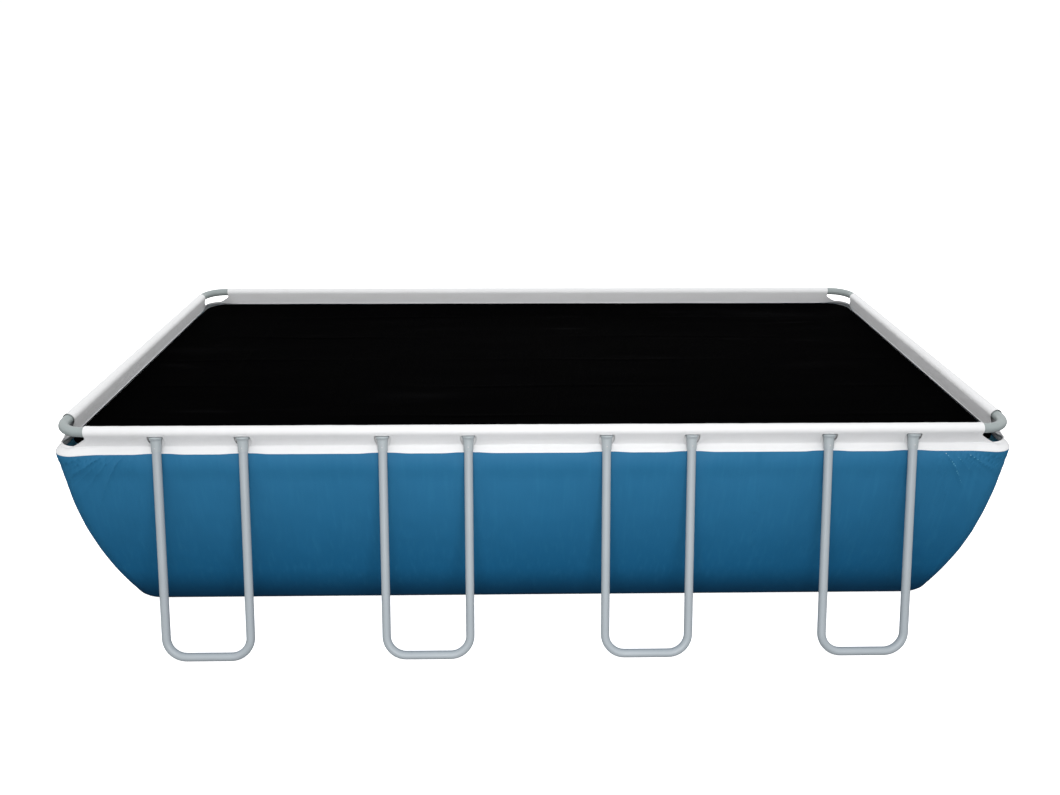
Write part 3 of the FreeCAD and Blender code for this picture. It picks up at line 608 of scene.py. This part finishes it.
def faces_between(columns, rows, keep):
    """Quads of a grid, cut along the line where keep is zero, and the points that they need."""
    points = []
    found = {}

    def point(a, b, share):
        key = (a, b)
        if key not in found:
            found[key] = len(points)
            points.append((a, b, share))
        return found[key]

    polygons = []
    for i in range(rows - 1):
        for j in range(columns - 1):
            start = i * columns + j
            ring = (start, start + 1, start + columns + 1, start + columns)
            if max(keep[k] for k in ring) <= 0:
                continue
            polygon = []
            for k in range(4):
                a, b = ring[k], ring[(k + 1) % 4]
                if keep[a] > 0:
                    polygon.append(point(a, a, 0.0))
                if (keep[a] > 0) != (keep[b] > 0):
                    low, high = min(a, b), max(a, b)
                    polygon.append(point(low, high, keep[low] / (keep[low] - keep[high])))
            polygons.append(polygon)
    return polygons, points


def make_mesh(name, points, polygons, materials, slots, normals):
    mesh = bpy.data.meshes.new(name)
    mesh.from_pydata([tuple(p) for p in points], [], polygons)
    for material in materials:
        mesh.materials.append(material)
    mesh.polygons.foreach_set("material_index", slots)
    mesh.polygons.foreach_set("use_smooth", [True] * len(polygons))
    mesh.normals_split_custom_set_from_vertices([tuple(n) for n in normals])
    piece = bpy.data.objects.new(name, mesh)
    bpy.context.scene.collection.objects.link(piece)
    return piece


def sheet_piece(
    name, shape, us, vs, materials, thickness=SHEET, keep=None, flip=False, edge_slot=0
):
    """A closed sheet whose outer face is shape(us, vs), with thickness behind it.

    keep(points) is positive where there is sheet. materials are the outer and inner face's."""
    u, v = np.meshgrid(us, vs)
    outer = shape(u, v)
    step = 0.0015
    along = shape(u + step, v) - shape(u - step, v)
    scale = step * (vs[-1] - vs[0]) / 2
    down = shape(u, v + scale) - shape(u, v - scale)
    normal = np.cross(along, down) * (-1 if flip else 1)
    normal /= np.maximum(np.linalg.norm(normal, axis=-1, keepdims=True), 1e-12)
    rows, columns = u.shape
    field = np.ones(u.size) if keep is None else keep(outer).ravel()
    polygons, places = faces_between(columns, rows, field)
    if flip:
        polygons = [p[::-1] for p in polygons]
    first = np.array([p[0] for p in places])
    second = np.array([p[1] for p in places])
    share = np.array([p[2] for p in places])[:, None]
    flat = outer.reshape(-1, 3)
    flat_normal = normal.reshape(-1, 3)
    front = flat[first] * (1 - share) + flat[second] * share
    facing = flat_normal[first] * (1 - share) + flat_normal[second] * share
    facing /= np.maximum(np.linalg.norm(facing, axis=-1, keepdims=True), 1e-12)
    back = front - facing * thickness
    count = len(front)
    open_edges = set()
    for polygon in polygons:
        for a, b in zip(polygon, polygon[1:] + polygon[:1]):
            if (b, a) in open_edges:
                open_edges.remove((b, a))
            else:
                open_edges.add((a, b))
    behind = [[i + count for i in p[::-1]] for p in polygons]
    rim = [[b, a, a + count, b + count] for a, b in sorted(open_edges)]
    slots = [0] * len(polygons) + [len(materials) - 1] * len(behind) + [edge_slot] * len(rim)
    points = np.concatenate([front, back])
    normals = np.concatenate([facing, -facing])
    return make_mesh(name, points, polygons + behind + rim, materials, slots, normals)


def steps(*stops):
    """Places from the first stop to the last; each stop is (place, largest step up to it)."""
    places = [stops[0][0]]
    for place, step in stops[1:]:
        start = places[-1]
        count = max(1, math.ceil((place - start) / step))
        places += [start + (place - start) * (i + 1) / count for i in range(count)]
    return np.array(places)


def mirrored(*stops):
    """The same steps both ways from 0."""
    half = steps(*stops)
    return np.concatenate([-half[:0:-1], half])


# ---------------------------------------------------------------- pieces of the liner


def wall_sheet(side, blue, inside):
    """Blue wall from the band down to the floor, with the fittings' holes in the right one."""
    creased = side.straight - 0.62
    us = mirrored((0, 0), (creased, COARSE), (side.straight, FINE), (side.reach, FINE))
    fillet = LINER_RUN - FILLET_RUN
    vs = steps((BAND_RUN, 0), (BAND_RUN + 0.45, 0.013), (fillet, 0.030), (LINER_RUN, 0.011))
    keep = None
    if side.name == "right":
        middle = side.straight - 0.60
        us = steps((-side.reach, 0), (-middle, FINE), (middle, FINE), (side.reach, FINE))

        def keep(points):
            return port_gap(side.turned(points), (PORT_HOLE, PORT_HOLE, DRAIN_HOLE))

    def shape(u, v):
        return liner_points(side, u, v)

    name = f"wall_{side.name}"
    piece = sheet_piece(name, shape, us, vs, [blue, inside], keep=keep, flip=True)
    place_on_side(piece, side)
    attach(piece, "pool")
    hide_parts(f"liner_wall_{side.name}")
    flat = (LINER_RUN - BAND_RUN, 2 * side.reach)


def band_sheet(side, white):
    """White band under the sleeve, lapped over the blue wall and flared to a lip at each corner."""
    us = mirrored((0, 0), (side.straight - 0.50, COARSE), (side.reach, FINE))
    vs = steps((0, 0), (BAND_RUN + WELD_LAP, 0.0045))

    def shape(u, v):
        lap = SEALED * ease((v - BAND_RUN + 0.006) / 0.005)
        near_corner = ease((np.abs(u) - side.straight + 0.14) / 0.14)
        raised = LIP_RISE * near_corner * ease(1 - v / 0.03)
        return liner_points(side, u, v - raised, lift=lap)

    piece = sheet_piece(f"band_{side.name}", shape, us, vs, [white, white], flip=True)
    place_on_side(piece, side)
    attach(piece, "pool")
    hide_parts(f"top_band_{side.name}")
    flat = (BAND_RUN + WELD_LAP + LIP_RISE, 2 * side.reach)


def sleeve_sheet(side, white):
    """White sleeve round the rail, open round each leg, with a hem and a gusset at each end."""
    end = side.sleeve + GUSSET
    stops = [(-end, 0)]
    for leg in side.legs:
        stops += [(leg - FINE_AT_LEG, SLEEVE_COARSE), (leg + FINE_AT_LEG, SLEEVE_FINE)]
    stops += [(side.sleeve - FINE_AT_END, SLEEVE_COARSE), (end, SLEEVE_FINE)]
    stops.insert(1, (-side.sleeve + FINE_AT_END, SLEEVE_FINE))
    us = steps(*stops)
    vs = np.linspace(0, 1, 46)

    def keep(points):
        past = np.abs(points[..., 0]) - side.sleeve
        rise = GUSSET_RISE * np.clip(1 - past / GUSSET, 0, 1) ** GUSSET_HOLLOW
        ends = np.maximum(-past, rise - (points[..., 2] - SEAM_Z))
        return np.minimum(ends, from_cut_out(side, points))

    def shape(u, v):
        return sleeve_points(side, u, v)

    name = f"sleeve_{side.name}"
    piece = sheet_piece(
        name, shape, us, vs, [white, white], thickness=SLEEVE_SHEET, keep=keep, flip=True
    )
    place_on_side(piece, side)
    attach(piece, "pool")
    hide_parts(f"rail_sleeve_{side.name}")
    whole = sleeve_outline(side, np.array(0.5))[3]


def place_on_side(piece, side):
    """Turns a finished mesh, its set normals with it, from the front to its side."""
    mesh = piece.data
    normals = np.empty(len(mesh.corner_normals) * 3, np.float32)
    mesh.corner_normals.foreach_get("vector", normals)
    turn = Matrix.Rotation(math.radians(side.turn), 4, "Z")
    mesh.transform(turn)
    turned = normals.reshape(-1, 3) @ np.array(turn.to_3x3()).T
    mesh.normals_split_custom_set([tuple(n) for n in turned])


def rounded_gap(points, half_x, half_y, radius):
    """Distance inside the edge of a rounded rectangle, negative outside it."""
    x = np.abs(points[..., 0]) - half_x + radius
    y = np.abs(points[..., 1]) - half_y + radius
    outside = np.hypot(np.maximum(x, 0), np.maximum(y, 0))
    return radius - outside - np.minimum(np.maximum(x, y), 0)


def floor_sheet(inside):
    """Floor on the ground, flat along its edge and slightly uneven further in."""
    half_x, half_y = FLOOR_HALF.x, FLOOR_HALF.y
    us = steps((-half_x, 0), (-half_x + 0.16, 0.012), (half_x - 0.16, 0.03), (half_x, 0.012))
    vs = steps((-half_y, 0), (-half_y + 0.16, 0.012), (half_y - 0.16, 0.03), (half_y, 0.012))

    def shape(u, v):
        flat = np.stack([u, v, np.zeros_like(u)], axis=-1)
        inner = ease(rounded_gap(flat, half_x, half_y, CORNER_FLOOR) / 0.25)
        flat[..., 2] = SHEET + FLOOR_RIPPLE * inner * np.maximum(1 + ripple(flat, 0.6, 21), 0) / 2
        return flat

    def keep(points):
        return rounded_gap(points, half_x, half_y, CORNER_FLOOR)

    piece = sheet_piece("floor_sheet", shape, us, vs, [inside, inside], keep=keep)
    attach(piece, "pool")
    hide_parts("liner_floor")


def cover_sheet(film, edge):
    """Bubble film on the water: slow swells, packing folds and an upturned edge."""
    half_x, half_y = COVER_HIGH.x + COVER_LAP, COVER_HIGH.y + COVER_LAP
    us = steps((-half_x, 0), (-half_x + 0.12, 0.012), (half_x - 0.12, 0.024), (half_x, 0.012))
    vs = steps((-half_y, 0), (-half_y + 0.12, 0.012), (half_y - 0.12, 0.020), (half_y, 0.012))
    thickness = COVER_HIGH.z - COVER_LOW.z

    def shape(u, v):
        flat = np.stack([u, v, np.zeros_like(u)], axis=-1)
        inward = rounded_gap(flat, half_x, half_y, COVER_CORNER)
        inner = ease(inward / 0.30)
        z = COVER_SWELL * ripple(flat, 1.1, 31) * inner
        z += COVER_PUCKER * ripple(flat, 0.28, 33, stretch=(3, 1, 1)) * inner
        for fold in FOLDS_ALONG:
            line = v - fold + 0.010 * np.sin(u * 1.9 + fold * 7)
            strong = 0.5 + 0.5 * np.sin(u * 2.3 + fold * 11)
            z += LONG_FOLD_RISE * np.exp(-(line / LONG_FOLD_HALF) ** 2) * strong * inner
        for fold in FOLDS_ACROSS:
            line = u - fold + 0.012 * np.sin(v * 3.1 + fold * 5)
            strong = 0.5 + 0.5 * np.sin(v * 3.7 + fold * 3)
            z += CROSS_FOLD_RISE * np.exp(-(line / CROSS_FOLD_HALF) ** 2) * strong * inner
        wavy = 1 + 0.5 * np.sin(u * 6.1) * np.sin(v * 5.3)
        z += COVER_CURL * ease(1 - inward / 0.035) * wavy
        flat[..., 2] = COVER_HIGH.z - 0.002 + z
        return flat

    def keep(points):
        return rounded_gap(points, half_x, half_y, COVER_CORNER)

    piece = sheet_piece(
        "cover_sheet", shape, us, vs, [film, edge], thickness=thickness, keep=keep, edge_slot=1
    )
    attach(piece, "cover")
    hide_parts("floating_cover")


# ---------------------------------------------------------------- repeated pieces


class Grower(Maker):
    """A Geometry Nodes tree with named sizes, ending in real geometry of one material."""

    def __init__(self, name, sizes):
        super().__init__(bpy.data.node_groups.new(name, "GeometryNodeTree"))
        face = self.tree.interface
        face.new_socket("Geometry", in_out="INPUT", socket_type="NodeSocketGeometry")
        for label, kind in sizes.items():
            face.new_socket(label, in_out="INPUT", socket_type=kind)
        face.new_socket("Geometry", in_out="OUTPUT", socket_type="NodeSocketGeometry")
        self.start = self.tree.nodes.new("NodeGroupInput")

    def given(self, label):
        return Link(self, self.start.outputs[label])

    def line(self):
        """The base mesh's edges as a curve with even steps."""
        curve = self.node("GeometryNodeMeshToCurve", None, {"Mesh": self.given("Geometry")})
        values = {"Curve": curve, "Length": self.given("Spacing")}
        return self.node("GeometryNodeResampleCurve", {"mode": "LENGTH"}, values)

    def close(self, geometry, material):
        real = self.node("GeometryNodeRealizeInstances", None, {"Geometry": geometry})
        paint = {"Geometry": real, "Material": material}
        painted = self.node("GeometryNodeSetMaterial", None, paint)
        smooth = self.node("GeometryNodeSetShadeSmooth", None, {"Geometry": painted})
        end = self.tree.nodes.new("NodeGroupOutput")
        self.feed(end.inputs["Geometry"], smooth)

    def grow(self, name, base, **sizes):
        """Runs the tree on a base mesh and keeps the result as a plain mesh."""
        piece = bpy.data.objects.new(name, base)
        bpy.context.scene.collection.objects.link(piece)
        modifier = piece.modifiers.new("grow", "NODES")
        modifier.node_group = self.tree
        sockets = self.tree.interface.items_tree
        names = {s.name: s.identifier for s in sockets if s.in_out == "INPUT"}
        for label, value in sizes.items():
            modifier[names[label.replace("_", " ")]] = value
        graph = bpy.context.evaluated_depsgraph_get()
        graph.update()
        mesh = bpy.data.meshes.new_from_object(piece.evaluated_get(graph), depsgraph=graph)
        piece.modifiers.clear()
        piece.data = mesh
        return piece


def liner_loop(name, down, lift):
    """A closed line round the liner, down metres below its seam."""
    points = []
    for side in SIDES:
        across = mirrored((0, 0), (side.straight - 0.30, COARSE), (side.reach, FINE))[:-1]
        line = liner_points(side, across, np.full_like(across, down), lift=lift)
        points += list(side.turned(line))
    mesh = bpy.data.meshes.new(name)
    count = len(points)
    edges = [(i, (i + 1) % count) for i in range(count)]
    mesh.from_pydata([tuple(p) for p in points], edges, [])
    return mesh


def seam_bead(white):
    """Rounded bead along the edge where sleeves and band are joined."""
    sizes = {"Bead radius": "NodeSocketFloat", "Spacing": "NodeSocketFloat"}
    tree = Grower("bead_along_edge", sizes)
    round_of = {"Resolution": 8, "Radius": tree.given("Bead radius")}
    circle = tree.node("GeometryNodeCurvePrimitiveCircle", None, round_of)
    swept = {"Curve": tree.line(), "Profile Curve": circle}
    tree.close(tree.node("GeometryNodeCurveToMesh", None, swept), white)
    path = liner_loop("edge_line", 0.0, -0.0006)
    piece = tree.grow("seam_bead", path, Bead_radius=BEAD_R, Spacing=BEAD_STEP)
    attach(piece, "pool")


def weld_ribs(white):
    """Short pressed ribs of the hot weld that joins band and wall."""
    sizes = {
        "Spacing": "NodeSocketFloat",
        "Rib radius": "NodeSocketFloat",
        "Rib stretch": "NodeSocketVector",
    }
    tree = Grower("ribs_along_weld", sizes)
    ball = {"Radius": tree.given("Rib radius"), "Subdivisions": 1}
    rib = tree.node("GeometryNodeMeshIcoSphere", None, ball)
    tangent = tree.node("GeometryNodeInputTangent")
    turn = tree.node("FunctionNodeAlignRotationToVector", {"axis": "X"}, {"Vector": tangent})
    placed = {"Points": tree.line(), "Instance": rib, "Rotation": turn}
    placed["Scale"] = tree.given("Rib stretch")
    tree.close(tree.node("GeometryNodeInstanceOnPoints", None, placed), white)
    path = liner_loop("weld_line", BAND_RUN + RIB_DOWN, SEALED)
    given = {"Spacing": RIB_PITCH, "Rib_radius": RIB_R, "Rib_stretch": RIB_STRETCH}
    piece = tree.grow("weld_ribs", path, **given)
    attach(piece, "pool")


def cut_out_patches(white):
    """Doubling patch welded round every leg's cut-out."""
    side = SIDES[0]
    leg = side.legs[0]
    us = steps((leg - PATCH_R - 0.006, 0), (leg + PATCH_R + 0.006, 0.004))
    vs = np.linspace(0.52, 1, 44)

    def keep(points):
        gap = from_cut_out(side, points)
        return np.minimum(gap - PATCH_GAP, PATCH_R - CUT_OUT_R - gap)

    def shape(u, v):
        return sleeve_points(side, u, v, lift=PATCH_SHEET)

    patch = sheet_piece(
        "patch", shape, us, vs, [white], thickness=PATCH_SHEET, keep=keep, flip=True
    )
    patch.data.transform(Matrix.Translation((-leg, side.depth / 2 - SLEEVE_R, -AXIS_Z)))

    seats = []
    turns = []
    for place in SIDES:
        for x in place.legs:
            seats.append(place.turned(np.array([x, -(place.depth / 2 - SLEEVE_R), AXIS_Z])))
            turns.append(math.radians(place.turn))
    base = bpy.data.meshes.new("patch_seats")
    base.from_pydata([tuple(p) for p in seats], [], [])
    base.attributes.new("turn", "FLOAT", "POINT").data.foreach_set("value", turns)

    tree = Grower("patch_at_each_leg", {"Patch": "NodeSocketObject"})
    patch_of = {"Object": tree.given("Patch")}
    shape_in = tree.node("GeometryNodeObjectInfo", None, patch_of, output="Geometry")
    turn = tree.node("GeometryNodeInputNamedAttribute", {"data_type": "FLOAT"}, {"Name": "turn"})
    angles = tree.node("ShaderNodeCombineXYZ", None, {"Z": turn})
    rotation = tree.node("FunctionNodeEulerToRotation", None, {"Euler": angles})
    placed = {"Points": tree.given("Geometry"), "Instance": shape_in, "Rotation": rotation}
    tree.close(tree.node("GeometryNodeInstanceOnPoints", None, placed), white)
    piece = tree.grow("cut_out_patches", base, Patch=patch)
    bpy.data.objects.remove(patch)
    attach(piece, "pool")


# ---------------------------------------------------------------- studio


def studio_camera():
    data = bpy.data.cameras.new("studio_camera")
    data.sensor_width = 36.0
    data.lens = CAMERA_LENS
    data.clip_end = 200.0
    camera = bpy.data.objects.new("studio_camera", data)
    level = Vector((math.cos(CAMERA_YAW), -math.sin(CAMERA_YAW), 0))
    heading = Vector((math.sin(CAMERA_YAW), math.cos(CAMERA_YAW), 0))
    ahead = heading * math.cos(CAMERA_PITCH) + Vector((0, 0, -math.sin(CAMERA_PITCH)))
    upward = level.cross(ahead)
    right = level * math.cos(CAMERA_ROLL) + upward * math.sin(CAMERA_ROLL)
    top = upward * math.cos(CAMERA_ROLL) - level * math.sin(CAMERA_ROLL)
    turn = Matrix((right, top, -ahead)).transposed().to_4x4()
    camera.matrix_world = Matrix.Translation(CAMERA_PLACE) @ turn
    bpy.context.scene.collection.objects.link(camera)
    bpy.context.scene.camera = camera


def soft_box(name, place, aim, size, power):
    data = bpy.data.lights.new(name, "AREA")
    data.shape = "RECTANGLE"
    data.size, data.size_y = size
    data.energy = power
    lamp = bpy.data.objects.new(name, data)
    turn = (Vector(aim) - Vector(place)).to_track_quat("-Z", "Y")
    lamp.matrix_world = Matrix.Translation(place) @ turn.to_matrix().to_4x4()
    bpy.context.scene.collection.objects.link(lamp)


def studio():
    """A white world above the horizon, a pale floor that lights nothing, and three soft boxes."""
    world = bpy.data.worlds.new("studio_world")
    world.use_nodes = True
    bpy.context.scene.world = world
    maker = Maker(world.node_tree)
    backdrop = next(n for n in world.node_tree.nodes if n.type == "BACKGROUND")
    way = maker.node("ShaderNodeTexCoord", output="Generated")
    up = maker.node("ShaderNodeSeparateXYZ", None, {0: way}, output="Z").ease(-0.06, -0.027)
    values = {0: up, 6: shade(0.05, 0.055, 0.06), 7: shade(1.0, 1.0, 1.0)}
    light = maker.node("ShaderNodeMix", {"data_type": "RGBA"}, values, output=2)
    maker.feed(backdrop.inputs["Color"], light)
    backdrop.inputs["Strength"].default_value = 1.02

    reach = 150.0
    mesh = bpy.data.meshes.new("studio_floor")
    corners = [(-reach, -reach, 0), (reach, -reach, 0), (reach, reach, 0), (-reach, reach, 0)]
    mesh.from_pydata(corners, [], [(0, 1, 2, 3)])
    floor = bpy.data.objects.new("studio_floor", mesh)
    glow = {"Emission_Color": shade(1, 1, 1), "Emission_Strength": 0.8}
    finish = Finish("pale_floor", Specular_IOR_Level=0.0, **glow)
    colour = finish.mix(finish.cloud(0.4), shade(0.97, 0.97, 0.97), shade(0.94, 0.94, 0.94))
    mesh.materials.append(finish.wear(colour, 0.9))
    bpy.context.scene.collection.objects.link(floor)
    floor.visible_diffuse = False
    floor.visible_glossy = False

    soft_box("key_box", (0.1, -5.9, 1.7), (0, -1.4, 0.7), (2.4, 1.6), 92)
    soft_box("high_box", (0.0, -9.0, 6.0), (0, 1.4, 1.2), (5.0, 3.0), 110)
    soft_box("back_box", (0.5, 7.0, 2.6), (0, 1.4, 0.7), (5.0, 2.2), 60)
    bpy.context.scene.view_settings.view_transform = "Standard"


# ---------------------------------------------------------------- the frame's own parts


def paint_frame():
    """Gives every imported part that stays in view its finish."""
    rail = (shade(0.34, 0.38, 0.38), shade(0.29, 0.33, 0.33))
    leg = (shade(0.38, 0.42, 0.45), shade(0.33, 0.37, 0.40))
    collar = (shade(0.40, 0.44, 0.46), shade(0.35, 0.39, 0.41))
    black = (shade(0.030, 0.030, 0.032), shade(0.045, 0.045, 0.048))
    grey = (shade(0.68, 0.70, 0.71), shade(0.60, 0.62, 0.63))
    finishes = {
        "rail_tube": powder_coat("rail_paint", *rail, gloss=0.32),
        "elbow": powder_coat("elbow_paint", *rail, gloss=0.30),
        "leg_tube": powder_coat("leg_paint", *leg, gloss=0.36),
        "collar": moulded_plastic("collar_plastic", *collar, gloss=0.42),
        "spring_button": turned_steel(),
        "port_plastic": moulded_plastic("port_black", *black, gloss=0.40),
        "grey_plastic": moulded_plastic("port_grey", *grey, gloss=0.38),
        "washer_rubber": washer_rubber(),
    }
    for row in frame["record"]["subparts"]:
        finish = finishes.get(row["material_slot"])
        if finish is not None:
            mesh = frame["nodes"][row["node"]].data
            mesh.materials.clear()
            mesh.materials.append(finish)


studio_camera()
studio()
paint_frame()

white = white_laminate()
blue = blue_laminate()
inside = water_side_laminate()
for side in SIDES:
    sleeve_sheet(side, white)
for side in SIDES:
    band_sheet(side, white)
for side in SIDES:
    wall_sheet(side, blue, inside)
floor_sheet(inside)
cover_sheet(bubble_film(), film_edge())
seam_bead(white)
weld_ribs(white)
cut_out_patches(white)
